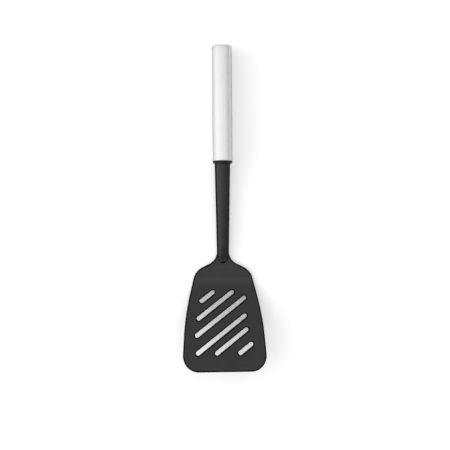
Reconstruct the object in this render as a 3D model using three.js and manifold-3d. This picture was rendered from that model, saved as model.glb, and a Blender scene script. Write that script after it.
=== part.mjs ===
// A pancake spatula: a slotted nylon head whose tang snaps into a ribbed core inside a hollow steel handle.
// Millimetres. +Y runs from the blade's front edge to the handle's end, +X to the right and +Z up.
// The tool lies on a table with its food side up: z = 0 is under the handle tube and the blade's heel.
import * as THREE from "three";
import { mergeVertices } from "three/addons/utils/BufferGeometryUtils.js";
import Module from "manifold-3d";

const wasm = await Module();
wasm.setup();

// Handle tube and its end cap
const TUBE_DIAMETER = 20;
const TUBE_WALL = 0.8;
const HANDLE_LENGTH = 115.3;
const CAP_RIM_LENGTH = 3;
const CAP_EDGE_RADIUS = 1.6;
const CAP_SKIRT_LENGTH = 6;
const CAP_WALL = 0.8;

// Collar ring between the tube and the shaft
const COLLAR_LENGTH = 2.6;
const COLLAR_DIAMETER = 19.6;
const COLLAR_EDGE_RADIUS = 0.6;
const COLLAR_SPIGOT_LENGTH = 5;

// Tang of the head, and the ribbed core that it snaps into
const TANG_LENGTH = 46;
const TANG_WIDTH = 10;
const TANG_DEPTH = 6;
const TANG_CORNER_RADIUS = 1;
const TANG_LEAD = 3;
const TANG_ROOT = 2;
const BARB_HEIGHT = 1.2;
const BARB_LENGTH = 4;
const BARB_DEPTH = 4;
const BARB_FROM_TANG_END = 16;
const CORE_LENGTH = 38;
const CORE_DIAMETER = 16;
const CORE_RIBS = 8;
const CORE_RIB_WIDTH = 1.6;

// Shaft, from the collar to the narrowest part of the neck. The crown is how far its face swells.
const SHAFT_LENGTH = 88;
const SHAFT_WIDTH_AT_COLLAR = 15.4;
const SHAFT_DEPTH_AT_COLLAR = 9;
const SHAFT_DEPTH_AT_NECK = 8.2;
const SHAFT_CROWN_AT_COLLAR = 3.2;
const SHAFT_CROWN_AT_NECK = 2.5;
const SHAFT_SIDE_DRAFT = 0.8;
const SHAFT_EDGE_ROUND = 0.7;
const SHAFT_FOOT_STEP = 0.5;

// The power that the shaft's top falls by: 1 would be a straight line, and more bows it upwards.
const SHAFT_TOP_BOW = 1.15;

// Tongue: the shaft's rounded end, which runs out over the blade
const TONGUE_LENGTH = 12.3;
const TONGUE_DROP_LENGTH = 18;
const TONGUE_ROUND_LENGTH = 14;
const TONGUE_TIP_WIDTH = 1.2;

// Blade outline in plan: widths, and distances forward of the neck
const NECK_WIDTH = 11.7;
const NECK_RADIUS = 13.5;
const SHOULDER_WIDTH = 55.6;
const SHOULDER_RADIUS = 17.4;
const SIDE_BOW_WIDTH = 77.8;
const SIDE_BOW_RADIUS = 246;
const FRONT_WIDTH = 84.7;
const FRONT_CORNER_RADIUS = 15.3;
const SHOULDER_START = 8.7;
const SHOULDER_END = 19.5;
const SIDE_BOW = 64.3;
const BLADE_LENGTH = 117.6;

// Blade seen from the side
const BLADE_PITCH = THREE.MathUtils.degToRad(20);
const PAD_START = 10.5;
const PAD_RADIUS = 250;
const HEEL = 31.4;
const HEEL_RADIUS = 34;
const BLADE_THICKNESS = 3.2;
const FRONT_THICKNESS = 1.8;
const FRONT_BEVEL_LENGTH = 6;
const FRONT_BEVEL_HEIGHT = 0.8;

// Edge of the blade: a rounded rim above, which takes at most a share of a thin edge, and a round below
const RIM_WIDTH = 1.4;
const RIM_HEIGHT = 1.2;
const RIM_SHARE = 0.6;
const LOWER_EDGE_ROUND = 0.5;

// How far the flare stands out from the shaft where the blade's flat top begins
const FLARE_START = 1;

// Slanted slots. Each lies on a line `across` millimetres from the middle of the front edge.
// That distance is square to the slant, and `left` and `right` are the x of the slot's two end centres.
const SLOT_WIDTH = 4.1;
const SLOT_SLANT = THREE.MathUtils.degToRad(37);
const SLOTS = [
  { across: 67.55, left: -21.9, right: -10.8 },
  { across: 55.9, left: -25.1, right: 8.5 },
  { across: 44.05, left: -27.0, right: 20.6 },
  { across: 30.1, left: -26.4, right: 20.7 },
  { across: 18.7, left: -7.6, right: 21.9 },
  { across: 4.9, left: 15.5, right: 26.3 },
];

// Clearances: pieces that slide into the tube, and the tang in the holes that it passes through
const TUBE_FIT = 0.15;
const TANG_FIT = 0.3;

// Fineness of round shapes
const ROUND_SEGMENTS = 48;
const ARC_STEPS = 6;
const RIM_STEPS = 3;
const CROWN_STEPS = 3;
const TONGUE_STEPS = 8;
const CORNER_SEGMENTS = 4;
const SLOT_END_SEGMENTS = 10;
const LEAST_STEP = 0.15;

// A rounded corner takes at most this share of the side next to it.
const CORNER_SHARE = 0.49;

// Points closer than this are one point, and a cut reaches this far past what it cuts.
const SAME_POINT = 1e-4;
const CUT_MARGIN = 1;

const STEEL = { color: 0xd6d4cf, roughness: 0.32, metalness: 1 };
const HEAD_NYLON = { color: 0x2b2b2c, roughness: 0.55, metalness: 0 };
const COLLAR_NYLON = { color: 0x222223, roughness: 0.45, metalness: 0 };
const CORE_PLASTIC = { color: 0x8b8b88, roughness: 0.6, metalness: 0 };

// Places that follow from the sizes. y = 0 is where the tube meets the collar.
const AXIS_Z = TUBE_DIAMETER / 2;
const TUBE_INSIDE_RADIUS = TUBE_DIAMETER / 2 - TUBE_WALL;
const INSERT_RADIUS = TUBE_INSIDE_RADIUS - TUBE_FIT;
const TUBE_END_Y = HANDLE_LENGTH - CAP_RIM_LENGTH;
const SHAFT_START_Y = -COLLAR_LENGTH;
const NECK_Y = SHAFT_START_Y - SHAFT_LENGTH;
const TIP_Y = NECK_Y - TONGUE_LENGTH;
const HEEL_Y = NECK_Y - HEEL;
const FRONT_Y = NECK_Y - BLADE_LENGTH;
const TANG_END_Y = SHAFT_START_Y + TANG_LENGTH;
const BARB_Y = TANG_END_Y - BARB_FROM_TANG_END;

// Solids from closed geometries, and geometries from solids

function solid(geometry) {
  const plain = geometry.clone();
  plain.deleteAttribute("normal");
  plain.deleteAttribute("uv");
  const merged = mergeVertices(plain, SAME_POINT);
  const corners = [];
  const index = merged.index.array;
  for (let i = 0; i < index.length; i += 3) {
    const [a, b, c] = index.slice(i, i + 3);
    if (a !== b && b !== c && c !== a) corners.push(a, b, c);
  }
  const vertProperties = new Float32Array(merged.attributes.position.array);
  const triVerts = new Uint32Array(corners);
  return new wasm.Manifold(new wasm.Mesh({ numProp: 3, vertProperties, triVerts }));
}

function geometryOf(manifold) {
  const { vertProperties, triVerts } = manifold.getMesh();
  const geometry = new THREE.BufferGeometry();
  geometry.setAttribute("position", new THREE.BufferAttribute(new Float32Array(vertProperties), 3));
  geometry.setIndex(new THREE.BufferAttribute(new Uint32Array(triVerts), 1));
  const shaded = geometry.toNonIndexed();
  shaded.computeVertexNormals();
  return shaded;
}

function piece(name, geometry, finish) {
  const mesh = new THREE.Mesh(geometry, new THREE.MeshStandardMaterial(finish));
  mesh.name = name;
  return mesh;
}

// Shared shapes

// A line through the given corners, from high y to low y, with each inner corner rounded by its radius.
function roundedLine(corners) {
  const path = new THREE.Path();
  path.moveTo(corners[0].x, corners[0].y);
  for (let i = 1; i < corners.length - 1; i += 1) {
    const here = new THREE.Vector2(corners[i].x, corners[i].y);
    const back = new THREE.Vector2(corners[i - 1].x, corners[i - 1].y).sub(here);
    const ahead = new THREE.Vector2(corners[i + 1].x, corners[i + 1].y).sub(here);
    const halfAngle = Math.acos(back.clone().normalize().dot(ahead.clone().normalize())) / 2;
    const longest = Math.min(back.length(), ahead.length()) * CORNER_SHARE;
    const reach = Math.min(corners[i].radius / Math.tan(halfAngle), longest);
    const radius = reach * Math.tan(halfAngle);
    const start = here.clone().add(back.clone().setLength(reach));
    const end = here.clone().add(ahead.clone().setLength(reach));
    const inward = back.clone().normalize().add(ahead.clone().normalize());
    const centre = here.clone().add(inward.setLength(radius / Math.sin(halfAngle)));
    const from = start.clone().sub(centre).angle();
    const to = end.clone().sub(centre).angle();
    const clockwise = back.cross(ahead) > 0;
    path.lineTo(start.x, start.y);
    path.absarc(centre.x, centre.y, radius, from, to, clockwise);
  }
  const last = corners[corners.length - 1];
  path.lineTo(last.x, last.y);
  return path.getPoints(ARC_STEPS);
}

// The x of a line at a given y, where the line's points run from high y to low y.
function xAt(line, y) {
  for (let i = 1; i < line.length; i += 1) {
    const [a, b] = [line[i - 1], line[i]];
    if (y >= b.y) return a.y === b.y ? b.x : a.x + ((b.x - a.x) * (a.y - y)) / (a.y - b.y);
  }
  return line[line.length - 1].x;
}

function roundedRectangle(width, depth, radius) {
  const [x, y] = [width / 2, depth / 2];
  const shape = new THREE.Shape();
  shape.moveTo(x, -y + radius);
  shape.absarc(x - radius, y - radius, radius, 0, Math.PI / 2);
  shape.absarc(-x + radius, y - radius, radius, Math.PI / 2, Math.PI);
  shape.absarc(-x + radius, -y + radius, radius, Math.PI, Math.PI * 1.5);
  shape.absarc(x - radius, -y + radius, radius, Math.PI * 1.5, Math.PI * 2);
  return shape;
}

// A straight bar of a given section along the handle's axis, which is the Y axis until the piece is placed.
function bar(shape, fromY, toY) {
  const settings = { depth: toY - fromY, bevelEnabled: false, curveSegments: CORNER_SEGMENTS };
  const geometry = new THREE.ExtrudeGeometry(shape, settings);
  return geometry.rotateX(-Math.PI / 2).translate(0, fromY, 0);
}

function tangHole(fromY, toY) {
  const [width, depth] = [TANG_WIDTH + 2 * TANG_FIT, TANG_DEPTH + 2 * TANG_FIT];
  return solid(bar(roundedRectangle(width, depth, TANG_CORNER_RADIUS), fromY, toY));
}

// A closed skin over rings of equal point count, with a fan over each end.
function loft(rings) {
  const size = rings[0].length;
  const positions = rings.flat().flatMap((p) => [p.x, p.y, p.z]);
  const index = [];
  for (let r = 0; r < rings.length - 1; r += 1) {
    for (let k = 0; k < size; k += 1) {
      const [a, b] = [r * size + k, r * size + ((k + 1) % size)];
      index.push(a, b, a + size, b, b + size, a + size);
    }
  }
  const addEnd = (ring, first, flip) => {
    const middle = ring.reduce((sum, p) => sum.add(p), new THREE.Vector3()).divideScalar(size);
    const centre = positions.length / 3;
    positions.push(middle.x, middle.y, middle.z);
    for (let k = 0; k < size; k += 1) {
      const [a, b] = [first + k, first + ((k + 1) % size)];
      index.push(centre, flip ? b : a, flip ? a : b);
    }
  };
  addEnd(rings[0], 0, true);
  addEnd(rings[rings.length - 1], (rings.length - 1) * size, false);
  const geometry = new THREE.BufferGeometry();
  geometry.setAttribute("position", new THREE.Float32BufferAttribute(positions, 3));
  geometry.setIndex(index);
  return geometry;
}

function lathe(profile) {
  const points = profile.map(([radius, y]) => new THREE.Vector2(radius, y));
  return new THREE.LatheGeometry(points, ROUND_SEGMENTS);
}

// Points of a quarter round in a lathe profile, from angle `from` to angle `to` in degrees.
function quarterRound(radius, y, size, from, to) {
  const points = [];
  for (let i = 0; i <= ARC_STEPS; i += 1) {
    const angle = THREE.MathUtils.degToRad(from + ((to - from) * i) / ARC_STEPS);
    points.push([radius + size * Math.cos(angle), y + size * Math.sin(angle)]);
  }
  return points;
}

// Pieces of the handle

function handleTube() {
  const outside = TUBE_DIAMETER / 2;
  return lathe([
    [TUBE_INSIDE_RADIUS, 0],
    [outside, 0],
    [outside, TUBE_END_Y],
    [TUBE_INSIDE_RADIUS, TUBE_END_Y],
    [TUBE_INSIDE_RADIUS, 0],
  ]);
}

// A pressed cup: its skirt sits inside the tube and its rounded rim carries on the tube's outside.
function handleEndCap() {
  const outside = TUBE_DIAMETER / 2;
  const inside = INSERT_RADIUS - CAP_WALL;
  const edge = Math.min(CAP_EDGE_RADIUS, CAP_RIM_LENGTH);
  return lathe([
    [0, HANDLE_LENGTH - CAP_WALL],
    [inside, HANDLE_LENGTH - CAP_WALL - edge],
    [inside, TUBE_END_Y - CAP_SKIRT_LENGTH],
    [INSERT_RADIUS, TUBE_END_Y - CAP_SKIRT_LENGTH],
    [INSERT_RADIUS, TUBE_END_Y],
    [outside, TUBE_END_Y],
    ...quarterRound(outside - edge, HANDLE_LENGTH - edge, edge, 0, 90),
    [0, HANDLE_LENGTH],
  ]);
}

// A flange as wide as the tube, a spigot inside the tube, and a hole for the tang.
function collarRing() {
  const outside = COLLAR_DIAMETER / 2;
  const edge = COLLAR_EDGE_RADIUS;
  const disc = lathe([
    [0, -COLLAR_LENGTH],
    ...quarterRound(outside - edge, -COLLAR_LENGTH + edge, edge, -90, 0),
    ...quarterRound(outside - edge, -edge, edge, 0, 90),
    [INSERT_RADIUS, 0],
    [INSERT_RADIUS, COLLAR_SPIGOT_LENGTH],
    [0, COLLAR_SPIGOT_LENGTH],
  ]);
  const hole = tangHole(-COLLAR_LENGTH - CUT_MARGIN, COLLAR_SPIGOT_LENGTH + CUT_MARGIN);
  return geometryOf(solid(disc).subtract(hole));
}

// A plug with ribs that press on the tube, a socket for the tang, and a window for each barb of the tang.
function tangCore() {
  const [start, end] = [COLLAR_SPIGOT_LENGTH, COLLAR_SPIGOT_LENGTH + CORE_LENGTH];
  const middle = (start + end) / 2;
  const rod = (radius) => {
    const cylinder = new THREE.CylinderGeometry(radius, radius, CORE_LENGTH, ROUND_SEGMENTS);
    return solid(cylinder.translate(0, middle, 0));
  };
  let core = rod(CORE_DIAMETER / 2);
  for (let i = 0; i < CORE_RIBS; i += 1) {
    const rib = new THREE.BoxGeometry(CORE_RIB_WIDTH, CORE_LENGTH, TUBE_DIAMETER / 2);
    rib.translate(0, middle, TUBE_DIAMETER / 4).rotateY((2 * Math.PI * i) / CORE_RIBS);
    core = core.add(solid(rib));
  }
  core = core.intersect(rod(INSERT_RADIUS));
  core = core.subtract(tangHole(start - CUT_MARGIN, end + CUT_MARGIN));
  const windowLength = BARB_LENGTH + 2 * TANG_FIT;
  const windows = new THREE.BoxGeometry(TUBE_DIAMETER, windowLength, BARB_DEPTH + 2 * TANG_FIT);
  return geometryOf(core.subtract(solid(windows.translate(0, BARB_Y, 0))));
}

// The head

// Half the head's width in plan, from the collar to the front edge.
function headOutline() {
  return roundedLine([
    { x: SHAFT_WIDTH_AT_COLLAR / 2, y: SHAFT_START_Y },
    { x: NECK_WIDTH / 2, y: NECK_Y - SHOULDER_START, radius: NECK_RADIUS },
    { x: SHOULDER_WIDTH / 2, y: NECK_Y - SHOULDER_END, radius: SHOULDER_RADIUS },
    { x: SIDE_BOW_WIDTH / 2, y: NECK_Y - SIDE_BOW, radius: SIDE_BOW_RADIUS },
    { x: FRONT_WIDTH / 2, y: FRONT_Y, radius: FRONT_CORNER_RADIUS },
    { x: 0, y: FRONT_Y },
  ]);
}

// The outline of the blade's flat top, inside its rounded rim.
function innerOutline(outline) {
  return outline.slice(1, -1).map((here, i) => {
    const along = outline[i + 2].clone().sub(outline[i]).normalize();
    return new THREE.Vector2(here.x + along.y * RIM_WIDTH, here.y - along.x * RIM_WIDTH);
  });
}

// Side profiles as lines whose x is the height above the table.
function undersideProfile() {
  const slope = Math.tan(BLADE_PITCH);
  const bevelY = FRONT_Y + FRONT_BEVEL_LENGTH;
  return roundedLine([
    { x: AXIS_Z - SHAFT_DEPTH_AT_COLLAR / 2, y: SHAFT_START_Y },
    { x: 0, y: NECK_Y - PAD_START, radius: PAD_RADIUS },
    { x: 0, y: HEEL_Y, radius: HEEL_RADIUS },
    { x: (HEEL_Y - bevelY) * slope, y: bevelY, radius: FRONT_BEVEL_LENGTH },
    { x: (HEEL_Y - FRONT_Y) * slope + FRONT_BEVEL_HEIGHT, y: FRONT_Y },
  ]);
}

function bladeTopProfile() {
  const lift = BLADE_THICKNESS * Math.tan(BLADE_PITCH / 2);
  return roundedLine([
    { x: AXIS_Z - SHAFT_DEPTH_AT_COLLAR / 2 + BLADE_THICKNESS, y: SHAFT_START_Y },
    { x: BLADE_THICKNESS, y: NECK_Y - PAD_START, radius: PAD_RADIUS },
    { x: BLADE_THICKNESS, y: HEEL_Y + lift, radius: HEEL_RADIUS - BLADE_THICKNESS },
    { x: (HEEL_Y - FRONT_Y) * Math.tan(BLADE_PITCH) + FRONT_THICKNESS, y: FRONT_Y },
  ]);
}

// The shaft at y: half its width, the swell of its face, and the height of the edges it swells from.
function shaftAt(y) {
  const along = THREE.MathUtils.clamp((SHAFT_START_Y - y) / SHAFT_LENGTH, 0, 1);
  const half = THREE.MathUtils.lerp(SHAFT_WIDTH_AT_COLLAR, NECK_WIDTH, along) / 2;
  const crown = THREE.MathUtils.lerp(SHAFT_CROWN_AT_COLLAR, SHAFT_CROWN_AT_NECK, along);
  const topAtCollar = AXIS_Z + SHAFT_DEPTH_AT_COLLAR / 2;
  const top = THREE.MathUtils.lerp(topAtCollar, SHAFT_DEPTH_AT_NECK, along ** SHAFT_TOP_BOW);
  return { half, crown, shoulder: top - crown };
}

// How much of the tongue is left at y: 1 until it starts to run out over `length`, and 0 at its tip.
function tongueLeft(y, length) {
  const share = THREE.MathUtils.clamp((TIP_Y + length - y) / length, 0, 1);
  return Math.sqrt(1 - share ** 2);
}

// The blade's edge at y, from its lower corner up over the rim. The rim also runs round the front edge.
function bladeEdge(y, lines) {
  const width = xAt(lines.outline, y);
  const bottom = xAt(lines.underside, y);
  const bladeTop = xAt(lines.bladeTop, y);
  const wallTop = bladeTop - Math.min(RIM_HEIGHT, (bladeTop - bottom) * RIM_SHARE);
  const fromFront = Math.min((y - FRONT_Y) / RIM_WIDTH, 1);
  const plate = wallTop + (bladeTop - wallTop) * Math.sqrt(1 - (1 - fromFront) ** 2);
  const inner = fromFront < 1 ? lines.outline[lines.outline.length - 2].x : xAt(lines.inner, y);
  return { width, bottom, wallTop, plate, inner };
}

// The section at y, a ring that starts at the lower right edge and runs up and over to the lower left one.
function headSection(y, lines) {
  const { width, bottom, wallTop, plate, inner } = bladeEdge(y, lines);
  const shaft = shaftAt(y);
  const rise = tongueLeft(y, TONGUE_DROP_LENGTH);
  const shoulder = plate + (shaft.shoulder - plate) * rise;

  // The shaft's sides lean in from foot to shoulder. Past the tongue they lie flat in the blade's top.
  const flare = THREE.MathUtils.clamp((width - shaft.half) / FLARE_START, 0, 1);
  const foot = plate + SHAFT_FOOT_STEP * (1 - flare);
  const lean = SHAFT_SIDE_DRAFT / Math.max(shaft.shoulder - bottom, BLADE_THICKNESS);
  const narrowed = (shaft.half - lean * (foot - bottom)) * tongueLeft(y, TONGUE_ROUND_LENGTH);
  const footX = y < TIP_Y ? shaft.half : Math.max(narrowed, TONGUE_TIP_WIDTH / 2);
  const shoulderX = footX - Math.max(lean * (shoulder - foot), LEAST_STEP);
  const round = Math.min(SHAFT_EDGE_ROUND, shoulderX / 2, Math.max(shoulder - foot, LEAST_STEP) / 2);
  const middleX = THREE.MathUtils.lerp((width + footX) / 2, inner, flare);
  const plateX = Math.max(middleX, footX + LEAST_STEP / 2);

  const lowerEdge = Math.min(LOWER_EDGE_ROUND, (wallTop - bottom) / 2);
  const half = [[width - lowerEdge, bottom], [width, bottom + lowerEdge]];
  for (let i = 0; i <= RIM_STEPS; i += 1) {
    const turn = ((Math.PI / 2) * i) / RIM_STEPS;
    const x = plateX + (width - plateX) * Math.cos(turn);
    half.push([x, wallTop + (plate - wallTop) * Math.sin(turn)]);
  }
  half.push([footX, foot], [shoulderX, Math.max(shoulder - round, foot)]);
  const crownZ = (x) => shoulder + shaft.crown * rise * (1 - (x / shoulderX) ** 2);
  for (let i = CROWN_STEPS; i > 0; i -= 1) {
    const x = ((shoulderX - round) * i) / CROWN_STEPS;
    half.push([x, crownZ(x)]);
  }
  const right = half.map(([x, z]) => new THREE.Vector3(x, y, z));
  const left = half.map(([x, z]) => new THREE.Vector3(-x, y, z)).reverse();
  return [...right, new THREE.Vector3(0, y, crownZ(0)), ...left];
}

// Every y where the outline or a side profile has a point, and steps along the tongue and the front rim.
function headStations(lines) {
  const places = [lines.outline, lines.underside, lines.bladeTop].flat().map((p) => p.y);
  for (let i = 0; i <= TONGUE_STEPS; i += 1) {
    const turn = ((Math.PI / 2) * i) / TONGUE_STEPS;
    places.push(TIP_Y + TONGUE_DROP_LENGTH * Math.sin(turn));
    places.push(TIP_Y + TONGUE_DROP_LENGTH * (1 - Math.cos(turn)));
  }
  for (let i = 0; i <= RIM_STEPS; i += 1) {
    const turn = ((Math.PI / 2) * i) / RIM_STEPS;
    places.push(FRONT_Y + RIM_WIDTH * (1 - Math.cos(turn)));
  }
  places.push(TIP_Y - TONGUE_TIP_WIDTH / 2);
  places.sort((a, b) => a - b);
  const kept = [];
  for (const y of places) {
    if (kept.length === 0 || y - kept[kept.length - 1] > LEAST_STEP) kept.push(y);
  }
  return kept.reverse();
}

function slotCut({ across, left, right }) {
  const radius = SLOT_WIDTH / 2;
  const half = (right - left) / Math.cos(SLOT_SLANT) / 2;
  const shape = new THREE.Shape();
  shape.absarc(half, 0, radius, -Math.PI / 2, Math.PI / 2);
  shape.absarc(-half, 0, radius, Math.PI / 2, Math.PI * 1.5);
  const depth = BLADE_LENGTH;
  const settings = { depth, bevelEnabled: false, curveSegments: SLOT_END_SEGMENTS };
  const cut = new THREE.ExtrudeGeometry(shape, settings);
  const x = (left + right) / 2;
  const y = FRONT_Y + across / Math.cos(SLOT_SLANT) + x * Math.tan(SLOT_SLANT);
  return solid(cut.rotateZ(SLOT_SLANT).translate(x, y, -depth / 4));
}

// The tang: a bar that narrows at its end, with a barb on each side.
function tang() {
  const section = roundedRectangle(TANG_WIDTH, TANG_DEPTH, TANG_CORNER_RADIUS);
  const stem = solid(bar(section, SHAFT_START_Y - TANG_ROOT, TANG_END_Y));
  const tip = new THREE.Shape();
  const half = TANG_WIDTH / 2 + BARB_HEIGHT;
  tip.moveTo(-half, SHAFT_START_Y - 2 * TANG_ROOT);
  tip.lineTo(half, SHAFT_START_Y - 2 * TANG_ROOT);
  tip.lineTo(half, TANG_END_Y - TANG_LEAD);
  tip.lineTo(TANG_WIDTH / 2 - TANG_LEAD / 2, TANG_END_Y);
  tip.lineTo(-TANG_WIDTH / 2 + TANG_LEAD / 2, TANG_END_Y);
  tip.lineTo(-half, TANG_END_Y - TANG_LEAD);
  const plan = new THREE.ExtrudeGeometry(tip, { depth: 2 * TANG_DEPTH, bevelEnabled: false });
  const barb = new THREE.Shape();
  barb.moveTo(0, BARB_Y - BARB_LENGTH / 2);
  barb.lineTo(half, BARB_Y - BARB_LENGTH / 2);
  barb.lineTo(TANG_WIDTH / 2 - LEAST_STEP, BARB_Y + BARB_LENGTH / 2);
  barb.lineTo(0, BARB_Y + BARB_LENGTH / 2);
  const wedge = new THREE.ExtrudeGeometry(barb, { depth: BARB_DEPTH, bevelEnabled: false });
  const rightBarb = solid(wedge.translate(0, 0, -BARB_DEPTH / 2));
  const leftBarb = solid(wedge.clone().rotateY(Math.PI));
  return stem.intersect(solid(plan.translate(0, 0, -TANG_DEPTH))).add(rightBarb).add(leftBarb);
}

function spatulaHead() {
  const outline = headOutline();
  const inner = innerOutline(outline);
  const lines = { outline, inner, underside: undersideProfile(), bladeTop: bladeTopProfile() };
  const rings = headStations(lines).map((y) => headSection(y, lines));
  let head = solid(loft(rings)).add(tang().translate([0, 0, AXIS_Z]));
  for (const slot of SLOTS) head = head.subtract(slotCut(slot));
  return geometryOf(head);
}

// Assembly. The origin is under the middle of the tool's length.
const root = new THREE.Group();
root.position.y = -(HANDLE_LENGTH + FRONT_Y) / 2;

const handle = new THREE.Group();
handle.position.z = AXIS_Z;
handle.add(piece("handle_tube", handleTube(), STEEL));
handle.add(piece("handle_end_cap", handleEndCap(), STEEL));
handle.add(piece("collar_ring", collarRing(), COLLAR_NYLON));
handle.add(piece("tang_core", tangCore(), CORE_PLASTIC));
root.add(handle);
root.add(piece("spatula_head", spatulaHead(), HEAD_NYLON));

export default root;
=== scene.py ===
"""Looks of a pancake spatula: a brushed steel handle, a black collar ring and a slotted nylon head."""
import math

import bmesh
import bpy
from bpy.props import FloatProperty, FloatVectorProperty, PointerProperty
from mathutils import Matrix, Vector


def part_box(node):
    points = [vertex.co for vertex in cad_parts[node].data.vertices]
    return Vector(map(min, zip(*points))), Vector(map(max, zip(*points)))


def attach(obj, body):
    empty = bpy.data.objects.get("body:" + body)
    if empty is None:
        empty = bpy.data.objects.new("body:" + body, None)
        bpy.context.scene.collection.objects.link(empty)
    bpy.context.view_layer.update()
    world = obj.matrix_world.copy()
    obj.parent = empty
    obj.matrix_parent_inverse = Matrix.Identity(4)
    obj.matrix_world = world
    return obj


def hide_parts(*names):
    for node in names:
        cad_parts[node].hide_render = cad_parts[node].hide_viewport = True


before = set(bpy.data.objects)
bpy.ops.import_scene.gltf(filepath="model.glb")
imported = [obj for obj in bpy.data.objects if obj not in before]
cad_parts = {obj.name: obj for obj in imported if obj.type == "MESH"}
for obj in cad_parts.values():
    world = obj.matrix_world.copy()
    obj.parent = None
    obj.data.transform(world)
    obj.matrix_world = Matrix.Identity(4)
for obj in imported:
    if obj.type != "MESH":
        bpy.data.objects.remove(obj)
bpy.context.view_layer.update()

bl_info = {
    "name": "Pancake spatula",
    "version": (1, 0, 0),
    "blender": (4, 5, 0),
    "location": "3D View > Sidebar > Spatula",
    "description": "Models the visible pieces of a pancake spatula round its packed frame",
    "category": "Object",
}

# Lengths are in metres, and +Y runs from the blade's front edge to the handle's end.
MM = 0.001
TUBE_LOW, TUBE_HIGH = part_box("handle_tube")
CAP_LOW, CAP_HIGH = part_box("handle_end_cap")
COLLAR_LOW, COLLAR_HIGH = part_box("collar_ring")
CORE_LOW, CORE_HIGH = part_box("tang_core")
HEAD_LOW, HEAD_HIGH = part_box("spatula_head")
TUBE_RADIUS = (TUBE_HIGH.x - TUBE_LOW.x) / 2
AXIS_Z = (TUBE_LOW.z + TUBE_HIGH.z) / 2
COLLAR_RADIUS = (COLLAR_HIGH.x - COLLAR_LOW.x) / 2
INSERT_RADIUS = (CORE_HIGH.x - CORE_LOW.x) / 2
SHAFT_START_Y = COLLAR_LOW.y
FRONT_Y = HEAD_LOW.y
ALONG_Y = (math.pi / 2, 0, 0)

# Fineness of round shapes
ROUND_VERTICES = 128
SLOT_VERTICES = 48
OUTLINE_POINTS = 18
PROFILE_POINTS = 14
TONGUE_STEPS = 20
CORNER_POINTS = 7
RIM_POINTS = 6
TOP_POINTS = 6
LIP_SEGMENTS = 3
CAP_SEGMENTS = 12
COLLAR_SEGMENTS = 8
TANG_SEGMENTS = 4
SLOT_SEGMENTS = 4

# Columns of the head's skin, counted from the middle of the underside: where the blade's rounded rim ends,
# where the tongue's side starts to rise, and where the shaft's side ends.
BLADE_RIM = CORNER_POINTS + 1 + RIM_POINTS
TONGUE_FOOT = BLADE_RIM + 1 + CORNER_POINTS // 2
SHAFT_RIM = BLADE_RIM + 2 * CORNER_POINTS

# Material slots of the head: its grained faces, and the painted shade on its rims, flanks and nose
FACE, PAINTED_SHADE_SLOT = 0, 1

# Tolerances, with angles in radians
SAME_POINT = 0.001 * MM  # Points nearer than this are one point
NEARBY = 0.01 * MM  # A place counts as reached from this near
STATION_GAP = 0.02 * MM  # Least gap between two sections of the head
SLOT_WALL_GAP = 0.02 * MM  # An edge this near to a slot's wall is on it
NO_STEP = 1e-6 * MM  # A shorter step along a line is none
NO_WIDTH = 1e-4 * MM  # A narrower top is none
LEAST_TANGENT = 1e-6  # Keeps a sharp corner from a division by nothing
STRAIGHT = 1e-4  # A corner that turns by less than twice this is straight
FACING = 0.9  # Least share of a face's normal along the axis that it looks along
EDGE_ANGLE = 0.8  # Least angle between the two faces of an edge to be rounded
SHARP_ANGLE = math.radians(35)  # Edges over this stay sharp in the shading
FLAT_ANGLE = math.radians(0.05)  # Faces that turn by less are one flat face
NORMAL_WEIGHT = 90  # How far large faces outweigh small ones in the shading

# How the head's skin is shaped
CORNER_SHARE = 0.47  # Most that a rounded corner takes of a side next to it
RIM_SHARE = 0.6  # Most that the rim takes of the blade's thickness
SHOULDER_SHARE = 0.8  # Past the tongue's tip, place of its shoulder columns as a share of its foot's
LEAST_SPREAD = 0.03  # Past the tip, least spread of its columns as a share of the shaft
SHAFT_BOW = 1.15  # Power of the curve of the shaft's top, where 1 is straight
FLARE_LENGTH = 1 * MM  # Width beyond the shaft at which the blade's flat top is complete
FOOT_STEP = 0.5 * MM  # Rise from the rim to the foot of the shaft's side
LEAST_SIDE = 1 * MM  # Least height over which the shaft's side leans in
SIDE_SHADE_END = 3.5 * MM  # How far past the neck the painted shade on the shaft's sides runs
NOSE_SHADE_LENGTH = 2 * MM  # Length of the painted shade on the tongue's nose
SLOT_RIM_REACH = 1.1  # Width of the painted shade round a slot, as a share of its rounding
SLOT_CUT_HEIGHT = 120 * MM  # Height of the bars that cut the slots
CUT_MARGIN = 1 * MM  # How far the collar's cutting bar stands out at either end

# Each slot lies on a line that passes the middle of the front edge at the first number, square to the slant.
# The other two numbers are the x of its end centres. All are in millimetres.
SLOTS_MM = ((67.55, -21.9, -10.8), (55.9, -25.1, 8.5), (44.05, -27.0, 20.6),
            (30.1, -26.4, 20.7), (18.7, -7.6, 21.9), (4.9, 15.5, 26.3))

# Roughness and gloss of the moulded finishes
GRAINED_FINISH = (0.32, 0.5)  # The head's grained faces, with a broad grey sheen
PAINTED_SHADE_FINISH = (0.6, 0.03)  # Painted shade: a darker, duller copy of the nylon on the rims, flanks and nose
COLLAR_FINISH = (0.5, 0.35)  # The collar, black and half dull
CORE_FINISH = (0.55, 0.5)  # The core, a plain grey inside the tube
PLASTIC_IOR = 1.54

# Most of a noise texture's values lie in this range.
NOISE_RANGE = {"From Min": 0.3, "From Max": 0.7}

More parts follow.
